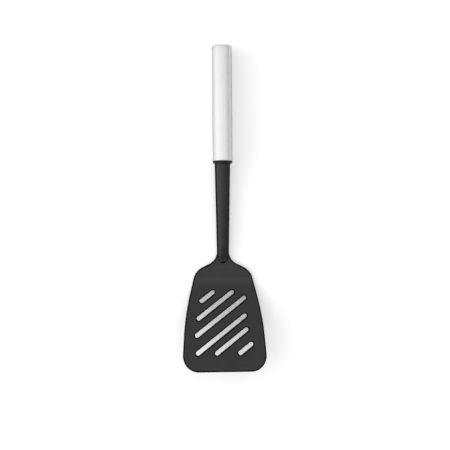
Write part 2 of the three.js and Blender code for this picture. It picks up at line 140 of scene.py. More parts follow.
# Where the tent's brightness starts and stops changing, as the share of a direction along X or Y.
# In the corners it is the product of both shares.
LEFT_FADE = (-1.0, 0.2)
RIGHT_FADE = (0.58, 1.08)
FRONT_FADE = (-0.2, -0.14)
LOW_FRONT_FADE = (-1.0, -0.6)
CORNER_FADE = (0.27, 0.45)
BACK_FADE = (0.0, 0.66)
LOW_BACK_FADE = (0.76, 0.9)
LOW_FRONT_SHARE = 0.7  # Brightness of the tent's lowest part in front
SIDE_POWER = 6.0  # How closely the added light from the left keeps to it
MIRRORED_GLOW = 0.15  # Share of the paper's glow that a reflection shows
FLOOR_SIZE = 8.0
SENSOR_MM = 36.0


def linear(hex_colour):
    """Turn an sRGB hex colour into linear red, green and blue."""
    channels = [int(hex_colour[i:i + 2], 16) / 255 for i in (0, 2, 4)]
    return [c / 12.92 if c <= 0.04045 else ((c + 0.055) / 1.055) ** 2.4 for c in channels]


def length(name, description, default_mm):
    """A length property, given in millimetres."""
    return FloatProperty(
        name=name, description=description, default=default_mm * MM, unit="LENGTH", precision=4)


def angle(name, description, default_degrees):
    """An angle property, given in degrees."""
    return FloatProperty(
        name=name, description=description, default=math.radians(default_degrees), subtype="ANGLE")


def number(name, description, default):
    """A property without a unit."""
    return FloatProperty(name=name, description=description, default=default)


def colour(name, description, hex_colour):
    """A colour property, given as an sRGB hex value."""
    return FloatVectorProperty(
        name=name, description=description, default=linear(hex_colour), subtype="COLOR")


class HandleSettings(bpy.types.PropertyGroup):
    """Sizes and colours of the steel handle and its collar."""

    wall: length("Tube wall", "Thickness of the tube's steel", 0.8)
    lip: length("Lip", "Rounding of the tube's two cut ends", 0.25)
    end_radius: length("End radius", "Rounding of the closed end", 1.6)
    cap_wall: length("Cap wall", "Thickness of the pressed steel cap", 0.8)
    collar_edge: length("Collar edge", "Rounding of the collar ring's rims", 0.6)
    tang_fit: length("Tang fit", "Clearance round the tang in the collar's hole", 0.3)
    steel: colour("Steel", "Colour of the brushed stainless steel", "E7E7E7")
    collar: colour("Collar", "Colour of the collar's nylon", "0E0E0E")
    core: colour("Core", "Colour of the moulded core inside the tube", "8B8B88")


class HeadSettings(bpy.types.PropertyGroup):
    """Sizes and colours of the nylon head."""

    shaft_length: length("Shaft length", "From the collar to the narrowest part of the neck", 88)
    shaft_width: length("Shaft width", "Width of the shaft at the collar", 15.4)
    shaft_depth: length("Shaft depth", "Depth of the shaft at the collar", 9)
    neck_depth: length("Neck depth", "Depth of the shaft at the neck", 8.2)
    crown_at_collar: length("Crown at collar", "Swell of the shaft's face at the collar", 3.2)
    crown_at_neck: length("Crown at neck", "Swell of the shaft's face at the neck", 2.5)
    side_draft: length("Side draft", "How far the shaft's sides lean in", 0.8)
    shaft_edge: length("Shaft edge", "Rounding of the shaft's upper edges", 0.7)
    foot: length("Foot", "Fillet where the tongue rises from the blade", 0.8)
    tongue: length("Tongue", "How far the shaft's rounded end runs out over the blade", 12.3)
    tongue_drop: length("Tongue drop", "Length over which the shaft's top runs down to the blade", 18)
    tongue_round: length("Tongue round", "Length of the tongue's rounded end in plan", 10)
    neck_width: length("Neck width", "Width at the narrowest part", 11.7)
    neck_radius: length("Neck radius", "Radius of the flare from shaft to shoulder", 13.5)
    shoulder_start: length("Shoulder start", "From the neck forward to the foot of the flare", 8.7)
    shoulder_end: length("Shoulder end", "From the neck forward to the shoulder's corner", 19.5)
    shoulder_width: length("Shoulder width", "Width between the shoulder corners before rounding", 55.6)
    shoulder_radius: length("Shoulder radius", "Rounding of the shoulder corners", 17.4)
    bow: length("Bow", "From the neck forward to where the sides bow out", 64.3)
    bow_width: length("Bow width", "Width between the bowed sides before rounding", 77.8)
    bow_radius: length("Bow radius", "Radius of the bowed sides", 246)
    front_width: length("Front width", "Width between the front corners before rounding", 84.63)
    front_radius: length("Front radius", "Rounding of the front corners", 15.3)
    pitch: angle("Pitch", "How far the blade is bent up at its heel", 20)
    pad_start: length("Pad start", "From the neck forward to where the underside turns level", 10.5)
    pad_radius: length("Pad radius", "Rounding of the underside where it turns level", 250)
    heel: length("Heel", "From the neck forward to the heel bend", 31.4)
    heel_radius: length("Heel radius", "Radius of the heel bend on the underside", 34)
    thickness: length("Thickness", "Thickness of the blade at its heel", 3.2)
    front_thickness: length("Front thickness", "Thickness of the blade's front edge before bevelling", 1.8)
    bevel_length: length("Bevel length", "Length of the bevel under the front edge", 6)
    bevel_height: length("Bevel height", "Height of the bevel under the front edge", 0.8)
    rim: length("Rim", "Width of the rounded rim round the blade's top", 1.4)
    rim_depth: length("Rim depth", "Height of that rim", 1.2)
    edge: length("Edge", "Rounding of the blade's lower edge", 0.5)
    tang_width: length("Tang width", "Width of the tang inside the handle", 10)
    tang_depth: length("Tang depth", "Depth of the tang", 6)
    tang_corner: length("Tang corner", "Rounding of the tang's long edges", 1)
    tang_root: length("Tang root", "How far the tang reaches into the shaft", 2)
    tang_lead: length("Tang lead", "Length over which the tang's end narrows", 3)
    barb_height: length("Barb height", "How far each barb stands out beside the tang", 1.2)
    barb_length: length("Barb length", "Length of the barbs", 4)
    barb_depth: length("Barb depth", "Depth of the barbs", 4)
    barb_from_end: length("Barb from end", "From the tang's end back to the middle of the barbs", 16)
    slot_width: length("Slot width", "Width of the slots", 4.1)
    slot_slant: angle("Slot slant", "Angle of the slots to the front edge", 37)
    slot_edge: length("Slot edge", "Rounding of the slots' upper edges", 1.3)
    slot_under: length("Slot under edge", "Rounding of the slots' lower edges", 0.4)
    nylon: colour("Nylon", "Colour of the grained faces", "222222")
    # Painted shade: a darker nylon colour that draws dark outlines on the rims, flanks, slot rims and the
    # tongue's nose
    flank: colour("Flank", "Colour of the smooth rims and flanks", "121212")


class StageSettings(bpy.types.PropertyGroup):
    """Camera, light and floor."""

    camera_height: length("Camera height", "Height of the camera over the handle's axis", 1000)
    camera_x: length("Camera x", "Place of the camera to the right of the tool", -48.7)
    camera_y: length("Camera y", "Place of the camera along the tool", -17.3)
    tilt: angle("Tilt", "How far the camera leans to look at the tool", -2.9)
    roll: angle("Roll", "Turn of the picture", -0.46)
    lens_mm: number("Lens", "Focal length on a 36 mm sensor, in millimetres", 80)
    tent_left: number("Tent left", "Brightness of the tent on the left", 1.36)
    tent_top: number("Tent top", "Brightness of the tent overhead", 1.07)
    tent_right: number("Tent right", "Share of that left on the right", 0.54)
    tent_front: number("Tent front", "Share of that left towards the blade", 0.0)
    tent_slant: number("Tent slant", "How far its dark front reaches back on the right", 0.14)
    tent_back: number("Tent back", "Share of that left towards the handle", 0.4)
    fill: number("Fill", "Light that the tent gives from all sides", 0.75)
    side: number("Side", "More light that it gives low on the left", 5.8)
    glow: number("Glow", "Light of the paper itself, for the white ground", 0.22)
    floor: colour("Floor", "Colour of the paper sweep", "F7F7F7")


def select_nothing():
    """Leave no object selected, so that an operator acts on the next new one alone."""
    bpy.ops.object.select_all(action="DESELECT")


def select_only(piece):
    """Select one piece and make it the active one."""
    select_nothing()
    piece.select_set(True)
    bpy.context.view_layer.objects.active = piece


def settle(name):
    """Name the primitive that was just added, and put its place into its mesh."""
    piece = bpy.context.active_object
    piece.name = name
    piece.data.name = name
    bpy.ops.object.transform_apply(location=True, rotation=True, scale=True)
    return piece


def round_bar(name, radius, low_y, high_y, ends="NGON"):
    """A round bar on the handle's axis from one y to another, with filled or open ends."""
    select_nothing()
    bpy.ops.mesh.primitive_cylinder_add(
        vertices=ROUND_VERTICES, radius=radius, depth=high_y - low_y, end_fill_type=ends,
        location=(0, (low_y + high_y) / 2, AXIS_Z), rotation=ALONG_Y)
    return settle(name)


def block(name, size, middle):
    """A rectangular block of a size along x, y and z round its middle."""
    select_nothing()
    bpy.ops.mesh.primitive_cube_add(size=1, location=middle)
    bpy.ops.transform.resize(value=size)
    return settle(name)


def edit(piece):
    """Open a piece's mesh for editing."""
    select_only(piece)
    bpy.ops.object.mode_set(mode="EDIT")


def close_edit():
    """Go back to object mode."""
    bpy.ops.object.mode_set(mode="OBJECT")


def pick(piece, kind, wanted):
    """In edit mode, select the verts, edges or faces that pass a test."""
    bpy.context.tool_settings.mesh_select_mode = (kind == "verts", kind == "edges", kind == "faces")
    bpy.ops.mesh.select_all(action="DESELECT")
    mesh = bmesh.from_edit_mesh(piece.data)
    mesh.normal_update()
    chosen = [element for element in getattr(mesh, kind) if wanted(element)]
    if not chosen:
        raise RuntimeError(f"{piece.name}: no {kind} to select")
    for element in chosen:
        element.select_set(True)
    bmesh.update_edit_mesh(piece.data)


def looks_back(face):
    """Whether a face looks towards the handle's end."""
    return face.normal.y > FACING


def looks_forward(face):
    """Whether a face looks towards the blade's front edge."""
    return face.normal.y < -FACING


def rise(edge):
    """How far an edge runs along the handle."""
    return abs(edge.verts[0].co.y - edge.verts[1].co.y)


def round_edges(offset, segments, **settings):
    """Round the selected edges, or the edges of the selected faces."""
    bpy.ops.mesh.bevel(offset=offset, segments=segments, affect="EDGES", **settings)


def extrude_along(distance):
    """Extrude the selected face along the handle."""
    bpy.ops.mesh.extrude_region_move(TRANSFORM_OT_translate={"value": (0, distance, 0)})


def modify(piece, kind, **settings):
    """Add a modifier and apply it."""
    bpy.context.view_layer.objects.active = piece
    modifier = piece.modifiers.new(kind.lower(), kind)
    for name, value in settings.items():
        setattr(modifier, name, value)
    bpy.ops.object.modifier_apply(modifier=modifier.name)


def combine(piece, operation, tool):
    """Join a tool to a piece or cut it away from it, and throw the tool away."""
    modify(piece, "BOOLEAN", operation=operation, object=tool, solver="EXACT")
    bpy.data.objects.remove(tool)


def finish_piece(piece, materials, node):
    """Smooth a piece, give it its materials, and let it stand for its CAD node."""
    select_only(piece)
    bpy.ops.object.shade_smooth_by_angle(angle=SHARP_ANGLE)
    modify(piece, "WEIGHTED_NORMAL", keep_sharp=True, weight=NORMAL_WEIGHT)
    for material in materials:
        piece.data.materials.append(material)
    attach(piece, "root")
    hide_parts(node)
    select_nothing()


def shader(tree, kind, inputs=None, **settings):
    """Add a node, set its properties, and fill or link its inputs."""
    node = tree.nodes.new(kind)
    for name, value in settings.items():
        setattr(node, name, value)
    for name, value in (inputs or {}).items():
        if isinstance(value, bpy.types.NodeSocket):
            tree.links.new(value, node.inputs[name])
        else:
            node.inputs[name].default_value = value
    return node


def seen_rays(tree):
    """Two sockets: 1 for rays straight from the camera, and 1 for those by way of a reflection or glass."""
    ray = shader(tree, "ShaderNodeLightPath")
    undiffused = shader(tree, "ShaderNodeMath",
                        {0: ray.outputs["Diffuse Depth"], 1: 1.0}, operation="LESS_THAN")
    bent = shader(tree, "ShaderNodeMath",
                  {0: ray.outputs["Is Glossy Ray"], 1: ray.outputs["Is Transmission Ray"]},
                  operation="MAXIMUM")
    mirrored = shader(tree, "ShaderNodeMath",
                      {0: bent.outputs["Value"], 1: undiffused.outputs["Value"]}, operation="MULTIPLY")
    return ray.outputs["Is Camera Ray"], mirrored.outputs["Value"]


def new_material(name):
    """An empty node material."""
    material = bpy.data.materials.new(name)
    material.use_nodes = True
    material.node_tree.nodes.clear()
    return material, material.node_tree


def patterned_surface(tree, colour_rgb, cloud, tones, grain, roughnesses, relief, depth, more):
    """A surface whose tone follows one pattern, and whose sheen and relief follow another."""
    tone = shader(tree, "ShaderNodeMapRange",
                  {"Value": cloud.outputs["Fac"], **NOISE_RANGE, "To Min": tones[0], "To Max": tones[1]})
    tinted = shader(tree, "ShaderNodeVectorMath",
                    {0: list(colour_rgb), 1: tone.outputs["Result"]}, operation="MULTIPLY")
    sheen = shader(tree, "ShaderNodeMapRange",
                   {"Value": grain.outputs["Fac"], **NOISE_RANGE,
                    "To Min": roughnesses[0], "To Max": roughnesses[1]})
    bump = shader(tree, "ShaderNodeBump",
                  {"Height": grain.outputs["Fac"], "Strength": relief, "Distance": depth})
    surface = shader(tree, "ShaderNodeBsdfPrincipled",
                     {"Base Color": tinted.outputs["Vector"], "Roughness": sheen.outputs["Result"],
                      "Normal": bump.outputs["Normal"], **more})
    shader(tree, "ShaderNodeOutputMaterial", {"Surface": surface.outputs["BSDF"]})


# Stainless steel tube, belt-brushed along its length: a satin sheen with faint streaks from end to end, and
# reflections spread round the tube. Real brush lines are too fine to show, so they are drawn coarser.
def brushed_stainless(colour_rgb):
    streak_width, streak_length, streak_depth = 0.35 * MM, 30 * MM, 0.02 * MM
    tones, roughnesses, relief = (0.96, 1.03), (0.24, 0.34), 0.12
    edge_tint, spread_round = (0.5, 0.5, 0.5, 1), 0.7
    across, along = 1 / streak_width, 1 / streak_length
    material, tree = new_material("stainless_steel_brushed")
    place = shader(tree, "ShaderNodeTexCoord")
    scaled = shader(tree, "ShaderNodeMapping",
                    {"Vector": place.outputs["Object"], "Scale": (across, along, across)})
    streaks = shader(tree, "ShaderNodeTexNoise",
                     {"Vector": scaled.outputs["Vector"], "Scale": 1.0, "Detail": 3.0, "Roughness": 0.6})
    around = shader(tree, "ShaderNodeTangent", direction_type="RADIAL", axis="Y")
    metal = {"Metallic": 1.0, "Specular Tint": edge_tint,
             "Anisotropic": spread_round, "Tangent": around.outputs["Tangent"]}
    patterned_surface(tree, colour_rgb, streaks, tones, streaks, roughnesses, relief, streak_depth, metal)
    return material


def handle_steel(settings):
    """The steel that the tube and its cap share, made on first use."""
    return bpy.data.materials.get("stainless_steel_brushed") or brushed_stainless(settings.steel)


# Nylon and other plastics from a spark-eroded mould: a fine matt grain with a soft, slightly mottled sheen.
# The real grain is too fine to show, so it is drawn coarser.
def moulded_plastic(name, colour_rgb, finish):
    roughness, gloss = finish
    grain_size, grain_depth, cloud_size = 0.45 * MM, 0.06 * MM, 14 * MM
    tones, unevenness, relief = (0.9, 1.12), 0.06, 0.8
    roughnesses = (roughness - unevenness, roughness + unevenness)
    material, tree = new_material(name)
    place = shader(tree, "ShaderNodeTexCoord")
    grain = shader(tree, "ShaderNodeTexNoise",
                   {"Vector": place.outputs["Object"], "Scale": 1 / grain_size,
                    "Detail": 2.0, "Roughness": 0.5})
    cloud = shader(tree, "ShaderNodeTexNoise",
                   {"Vector": place.outputs["Object"], "Scale": 1 / cloud_size,
                    "Detail": 3.0, "Roughness": 0.55})
    plastic = {"IOR": PLASTIC_IOR, "Specular IOR Level": gloss}
    patterned_surface(tree, colour_rgb, cloud, tones, grain, roughnesses, relief, grain_depth, plastic)
    return material


def tang_bar(settings, spare, low_y, high_y):
    """A bar of the tang's section, with so much to spare all round, from one y to another."""
    size = (settings.tang_width + 2 * spare, high_y - low_y, settings.tang_depth + 2 * spare)
    bar = block("tang_bar", size, (0, (low_y + high_y) / 2, AXIS_Z))
    edit(bar)
    pick(bar, "edges", lambda edge: rise(edge) > NEARBY)
    round_edges(settings.tang_corner, TANG_SEGMENTS)
    close_edit()
    return bar


class SPATULA_OT_handle_tube(bpy.types.Operator):
    """Model the steel tube of the handle"""

    bl_idname = "spatula.handle_tube"
    bl_label = "Handle tube"

    def execute(self, context):
        settings = context.scene.spatula_handle
        tube = round_bar("steel_tube", TUBE_RADIUS, TUBE_LOW.y, TUBE_HIGH.y, ends="NOTHING")
        modify(tube, "SOLIDIFY", thickness=settings.wall, offset=-1)
        edit(tube)
        pick(tube, "edges", lambda edge: rise(edge) < SAME_POINT and edge.calc_face_angle(0) > EDGE_ANGLE)
        round_edges(settings.lip, LIP_SEGMENTS)
        close_edit()
        finish_piece(tube, (handle_steel(settings),), "handle_tube")
        return {"FINISHED"}


class SPATULA_OT_end_cap(bpy.types.Operator):
    """Model the rounded steel cap that closes the handle, a cup whose skirt sits in the tube"""

    bl_idname = "spatula.end_cap"
    bl_label = "End cap"

    def execute(self, context):
        settings = context.scene.spatula_handle
        cap = round_bar("steel_end_cap", TUBE_RADIUS, TUBE_HIGH.y, CAP_HIGH.y)
        edit(cap)
        pick(cap, "faces", looks_back)
        round_edges(settings.end_radius, CAP_SEGMENTS)
        pick(cap, "faces", looks_forward)
        bpy.ops.mesh.inset(thickness=TUBE_RADIUS - INSERT_RADIUS)
        extrude_along(CAP_LOW.y - TUBE_HIGH.y)
        bpy.ops.mesh.inset(thickness=settings.cap_wall)
        extrude_along(CAP_HIGH.y - settings.end_radius - settings.cap_wall - CAP_LOW.y)
        close_edit()
        finish_piece(cap, (handle_steel(settings),), "handle_end_cap")
        return {"FINISHED"}


class SPATULA_OT_collar_ring(bpy.types.Operator):
    """Model the black ring between the tube and the shaft, with its spigot and its hole for the tang"""

    bl_idname = "spatula.collar_ring"
    bl_label = "Collar ring"

    def execute(self, context):
        settings = context.scene.spatula_handle
        ring = round_bar("collar_bead", COLLAR_RADIUS, COLLAR_LOW.y, TUBE_LOW.y)
        edit(ring)
        pick(ring, "faces", lambda face: looks_back(face) or looks_forward(face))
        round_edges(settings.collar_edge, COLLAR_SEGMENTS)
        pick(ring, "faces", lambda face: looks_back(face) and len(face.verts) == ROUND_VERTICES)
        extrude_along(COLLAR_HIGH.y - TUBE_LOW.y)
        close_edit()
        hole = tang_bar(context.scene.spatula_head, settings.tang_fit,
                        COLLAR_LOW.y - CUT_MARGIN, COLLAR_HIGH.y + CUT_MARGIN)
        combine(ring, "DIFFERENCE", hole)
        nylon = moulded_plastic("nylon_collar_moulded", settings.collar, COLLAR_FINISH)
        finish_piece(ring, (nylon,), "collar_ring")
        return {"FINISHED"}


class SPATULA_OT_tang_core(bpy.types.Operator):
    """Give the hidden core inside the tube its finish"""

    bl_idname = "spatula.tang_core"
    bl_label = "Tang core"

    def execute(self, context):
        settings = context.scene.spatula_handle
        material = moulded_plastic("polypropylene_core_moulded", settings.core, CORE_FINISH)
        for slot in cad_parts["tang_core"].material_slots:
            slot.material = material
        return {"FINISHED"}


def rounded_line(corners, points):
    """Points along corners (two places and a radius), each inner one rounded by an arc of so many points."""
    line = [Vector(corners[0][:2])]
    for back, here, ahead in zip(corners, corners[1:], corners[2:]):
        middle = Vector(here[:2])
        to_back = Vector(back[:2]) - middle
        to_ahead = Vector(ahead[:2]) - middle
        room = CORNER_SHARE * min(to_back.length, to_ahead.length)
        half_angle = to_back.angle(to_ahead) / 2
        reach = min(here[2] / max(math.tan(half_angle), LEAST_TANGENT), room)
        start = middle + to_back.normalized() * reach
        end = middle + to_ahead.normalized() * reach
        shares = [i / (points - 1) for i in range(points)]
        if math.pi / 2 - half_angle < STRAIGHT:
            line += [start.lerp(end, share) for share in shares]
            continue
        bisector = to_back.normalized() + to_ahead.normalized()
        radius = reach * math.tan(half_angle)
        centre = middle + bisector.normalized() * (radius / math.sin(half_angle))
        turn = math.pi - 2 * half_angle
        first_arm, last_arm = start - centre, end - centre
        for share in shares:
            arm = first_arm * math.sin((1 - share) * turn) + last_arm * math.sin(share * turn)
            line.append(centre + arm / math.sin(turn))
    line.append(Vector(corners[-1][:2]))
    return line


def at(line, y):
    """The first coordinate of a line at y, where its points run from high y to low y."""
    for start, end in zip(line, line[1:]):
        if y >= end.y:
            drop = start.y - end.y
            return end.x if drop < NO_STEP else start.x + (end.x - start.x) * (start.y - y) / drop
    return line[-1].x


class HeadShape:
    """The outline, the side profiles and the sections of the head."""

    def __init__(self, settings):
        self.sizes = settings
        self.neck_y = SHAFT_START_Y - settings.shaft_length
        self.tip_y = self.neck_y - settings.tongue
        self.heel_y = self.neck_y - settings.heel
        self.outline = self.make_outline()
        self.inner = self.make_inner()
        self.corner_x = self.outline[-2].x
        self.underside = self.make_underside()
        self.blade_top = self.make_blade_top()

    def make_outline(self):
        """Half the head's width in plan, from the collar to the front edge."""
        sizes, neck = self.sizes, self.neck_y
        return rounded_line([
            (sizes.shaft_width / 2, SHAFT_START_Y, 0),
            (sizes.neck_width / 2, neck - sizes.shoulder_start, sizes.neck_radius),
            (sizes.shoulder_width / 2, neck - sizes.shoulder_end, sizes.shoulder_radius),
            (sizes.bow_width / 2, neck - sizes.bow, sizes.bow_radius),
            (sizes.front_width / 2, FRONT_Y, sizes.front_radius),
            (0, FRONT_Y, 0)], OUTLINE_POINTS)

    def make_inner(self):
        """The outline of the blade's flat top, inside its rounded rim."""
        inner = []
        for back, here, ahead in zip(self.outline, self.outline[1:], self.outline[2:]):
            along = (ahead - back).normalized()
            inner.append(here + Vector((along.y, -along.x)) * self.sizes.rim)
        return inner

    def make_underside(self):
        """Height of the underside: shaft, level pad under the neck, pitched blade and bevelled front edge."""
        sizes = self.sizes
        slope = math.tan(sizes.pitch)
        bevel_y = FRONT_Y + sizes.bevel_length
        return rounded_line([
            (AXIS_Z - sizes.shaft_depth / 2, SHAFT_START_Y, 0),
            (0, self.neck_y - sizes.pad_start, sizes.pad_radius),
            (0, self.heel_y, sizes.heel_radius),
            ((self.heel_y - bevel_y) * slope, bevel_y, sizes.bevel_length),
            ((self.heel_y - FRONT_Y) * slope + sizes.bevel_height, FRONT_Y, 0)], PROFILE_POINTS)

    def make_blade_top(self):
        """Height of the blade's flat top, which runs on under the tongue and the shaft."""
        sizes = self.sizes
        slope = math.tan(sizes.pitch)
        lift = sizes.thickness * math.tan(sizes.pitch / 2)
        return rounded_line([
            (AXIS_Z - sizes.shaft_depth / 2 + sizes.thickness, SHAFT_START_Y, 0),
            (sizes.thickness, self.neck_y - sizes.pad_start, sizes.pad_radius),
            (sizes.thickness, self.heel_y + lift, sizes.heel_radius - sizes.thickness),
            ((self.heel_y - FRONT_Y) * slope + sizes.front_thickness, FRONT_Y, 0)], PROFILE_POINTS)

    def run_out(self, y, over):
        """How much of the tongue is left at y: 1 before it runs out, 0 at its tip."""
        share = min(max((self.tip_y + over - y) / over, 0), 1)
        return math.sqrt(1 - share * share)

    def stations(self):
        """Every y that the skin needs to follow the head's curves, from the collar to the front edge."""
        sizes = self.sizes
        places = [point.y for line in (self.outline, self.underside, self.blade_top) for point in line]
        for i in range(TONGUE_STEPS + 1):
            places.append(self.tip_y + sizes.tongue_drop * math.cos(math.pi / 2 * (1 - i / TONGUE_STEPS)))
            places.append(self.tip_y + sizes.tongue_drop * (1 - math.cos(math.pi / 2 * i / TONGUE_STEPS)))
        for i in range(RIM_POINTS + 1):
            places.append(FRONT_Y + sizes.rim * (1 - math.cos(math.pi / 2 * i / RIM_POINTS)))
        kept = []
        for y in sorted(places, reverse=True):
            if not kept or kept[-1] - y > STATION_GAP:
                kept.append(y)
        kept[-1] = FRONT_Y
        return kept

    def plate_at(self, y):
        """The blade at y: its underside, the foot of its rim, its flat top and half the width of that."""
        sizes = self.sizes
        low, plate = at(self.underside, y), at(self.blade_top, y)
        wall_top = plate - min(sizes.rim_depth, RIM_SHARE * (plate - low))
        from_front = min((y - FRONT_Y) / sizes.rim, 1)
        plate = wall_top + (plate - wall_top) * math.sqrt(max(1 - (1 - from_front) ** 2, 0))
        inner = at(self.inner, y) if from_front == 1 else self.corner_x
        return low, wall_top, plate, inner

    def shaft_at(self, y):
        """The shaft at y: half its width, the swell of its face and the height of its upper edges."""
        sizes = self.sizes
        along = min(max((SHAFT_START_Y - y) / sizes.shaft_length, 0), 1)
        shaft = (sizes.shaft_width + (sizes.neck_width - sizes.shaft_width) * along) / 2
        crown = sizes.crown_at_collar + (sizes.crown_at_neck - sizes.crown_at_collar) * along
        start_top = AXIS_Z + sizes.shaft_depth / 2
        edge_top = start_top + (sizes.neck_depth - start_top) * along ** SHAFT_BOW - crown
        return shaft, crown, edge_top

    def section(self, y):
        """Half the section at y, from the middle of the underside to the middle of the top."""
        sizes = self.sizes
        width = at(self.outline, y)
        low, wall_top, plate, inner = self.plate_at(y)
        shaft, crown, edge_top = self.shaft_at(y)
        height = self.run_out(y, sizes.tongue_drop)
        top = plate + (edge_top - plate) * height
        flare = min(max((width - shaft) / FLARE_LENGTH, 0), 1)
        if y < self.tip_y + NEARBY:
            # Past the tip the tongue's columns lie flat on the blade, and spread out towards the front.
            step = 0
            foot_x = shaft * min(max((self.tip_y - y) / sizes.tongue, LEAST_SPREAD), 1)
            shoulder_x = foot_x * SHOULDER_SHARE
        else:
            step = FOOT_STEP * (1 - flare)
            narrow = self.run_out(y, sizes.tongue_round)
            lean = sizes.side_draft / max(edge_top - low, LEAST_SIDE)
            foot_x = (shaft - lean * (plate + step - low)) * narrow
            shoulder_x = (shaft - lean * (top - low)) * narrow
        plate_x = max(flare * inner + (1 - flare) * (width + foot_x) / 2, foot_x)
        half = rounded_line([(0, low, 0), (width, low, sizes.edge), (width, wall_top, 0)], CORNER_POINTS)
        for i in range(1, RIM_POINTS + 1):
            turn = math.pi / 2 * i / RIM_POINTS
            half.append(Vector((plate_x + (width - plate_x) * math.cos(turn),
                                wall_top + (plate - wall_top) * math.sin(turn))))
        half += rounded_line([
            (plate_x, plate, 0), (foot_x, plate + step, sizes.foot), (shoulder_x, top, sizes.shaft_edge),
            (0, top, 0)], CORNER_POINTS)[1:]
        last = half.pop()
        start = half[-1]
        half += [start.lerp(last, i / TOP_POINTS) for i in range(1, TOP_POINTS + 1)]
        for point in half[-TOP_POINTS - CORNER_POINTS:]:
            if shoulder_x > NO_WIDTH and point.x < shoulder_x:
                point.y += crown * height * (1 - (point.x / shoulder_x) ** 2)
        return half

    def gets_painted_shade(self, from_seam, y):
        """Whether a face at y, so many columns from the seam, gets the painted shade of the rims, flanks and
        nose.
        """
        tip = self.tip_y + NEARBY
        on_rim = 0 < from_seam < BLADE_RIM
        on_shaft_side = BLADE_RIM <= from_seam < SHAFT_RIM and y > self.neck_y - SIDE_SHADE_END
        on_tongue_side = TONGUE_FOOT <= from_seam < SHAFT_RIM and y > tip
        on_nose = from_seam >= SHAFT_RIM and tip < y < self.tip_y + NOSE_SHADE_LENGTH
        on_front = from_seam > 0 and y < FRONT_Y + self.sizes.rim + NEARBY
        return on_rim or on_shaft_side or on_tongue_side or on_nose or on_front


def head_grid(shape):
    """Wrap a grid round the head's sections, and mark the faces that get the painted shade."""
    rings = []
    for y in shape.stations():
        half = shape.section(y)
        right = [Vector((point.x, y, point.y)) for point in half]
        left = [Vector((-point.x, y, point.y)) for point in reversed(half)]
        rings.append(right + left)
    columns, rows = len(rings[0]), len(rings)
    select_nothing()
    bpy.ops.mesh.primitive_grid_add(x_subdivisions=columns - 1, y_subdivisions=rows - 1, size=2)
    head = settle("nylon_head")
    places = {}
    for vertex in head.data.vertices:
        column = round((vertex.co.x + 1) / 2 * (columns - 1))
        row = round((1 - vertex.co.y) / 2 * (rows - 1))
        places[vertex.index] = (row, column)
        vertex.co = rings[row][column]
    for face in head.data.polygons:
        row = min(places[i][0] for i in face.vertices)
        column = min(places[i][1] for i in face.vertices)
        from_seam = min(column, columns - 2 - column)
        # Faces on the rims, flanks and the tongue's nose get the painted shade.
        face.material_index = PAINTED_SHADE_SLOT if shape.gets_painted_shade(from_seam, rings[row][0].y) else FACE
    return head


def loft_head(shape):
    """The head as a closed skin: its seam merged, its two ends filled and its flat faces thinned out."""
    head = head_grid(shape)
    edit(head)
    bpy.ops.mesh.select_all(action="SELECT")
    bpy.ops.mesh.remove_doubles(threshold=SAME_POINT)
    pick(head, "edges", lambda edge: edge.is_boundary and edge.verts[0].co.y > SHAFT_START_Y - NEARBY)
    bpy.ops.mesh.edge_face_add()
    pick(head, "edges", lambda edge: edge.is_boundary)
    bpy.ops.mesh.edge_face_add()
    bpy.ops.mesh.select_all(action="SELECT")
    bpy.ops.mesh.normals_make_consistent(inside=False)
    pick(head, "faces", lambda face: face.material_index == FACE
         and face.calc_center_median().y < shape.heel_y)
    bpy.ops.mesh.dissolve_limited(angle_limit=FLAT_ANGLE)
    close_edit()
    return head


def add_tang(head, settings):
    """Join the tang and its two barbs to the shaft, where they lie inside the handle."""
    tang = tang_bar(settings, 0, SHAFT_START_Y - settings.tang_root, HEAD_HIGH.y - settings.tang_lead)
    edit(tang)
    pick(tang, "faces", looks_back)
    extrude_along(settings.tang_lead)
    narrowed = (settings.tang_width - settings.tang_lead) / settings.tang_width
    bpy.ops.transform.resize(value=(narrowed, 1, 1), center_override=(0, HEAD_HIGH.y, AXIS_Z))
    close_edit()
    barb_width = settings.tang_width + 2 * settings.barb_height
    barb_y = HEAD_HIGH.y - settings.barb_from_end
    barbs = block("barbs", (barb_width, settings.barb_length, settings.barb_depth), (0, barb_y, AXIS_Z))
    edit(barbs)
    pick(barbs, "faces", looks_back)
    narrowed = settings.tang_width / barb_width
    bpy.ops.transform.resize(value=(narrowed, 1, 1), center_override=(0, barb_y, AXIS_Z))
    close_edit()
    combine(tang, "UNION", barbs)
    combine(head, "UNION", tang)


def slot_lines(settings):
    """The two end centres of each slot in plan."""
    lines = []
    for across, left, right in SLOTS_MM:
        ends = []
        for x in (left * MM, right * MM):
            y = FRONT_Y + across * MM / math.cos(settings.slot_slant) + x * math.tan(settings.slot_slant)
            ends.append(Vector((x, y)))
        lines.append(ends)
    return lines


def slot_cutter(settings):
    """Six round-ended bars in one mesh, each a cylinder stretched along its slot."""
    bars = []
    for start, end in slot_lines(settings):
        select_nothing()
        bpy.ops.mesh.primitive_cylinder_add(
            vertices=SLOT_VERTICES, radius=settings.slot_width / 2, depth=SLOT_CUT_HEIGHT, location=(0, 0, 0))
        bar = settle("slot_bar")
        edit(bar)
        pick(bar, "verts", lambda vertex: vertex.co.x > NEARBY)
        bpy.ops.transform.translate(value=((end - start).length, 0, 0))
        close_edit()
        bar.rotation_euler.z = settings.slot_slant
        bar.location = (start.x, start.y, 0)
        bpy.ops.object.transform_apply(location=True, rotation=True, scale=True)
        bars.append(bar)
    select_nothing()
    for bar in bars:
        bar.select_set(True)
    bpy.context.view_layer.objects.active = bars[0]
    bpy.ops.object.join()
    return bars[0]


def from_slot(point, lines):
    """Distance in plan from a point to the nearest slot's middle line."""
    distances = []
    for start, end in lines:
        along = (end - start).normalized()
        reach = min(max((point - start).dot(along), 0), (end - start).length)
        distances.append((point - start - along * reach).length)
    return min(distances)


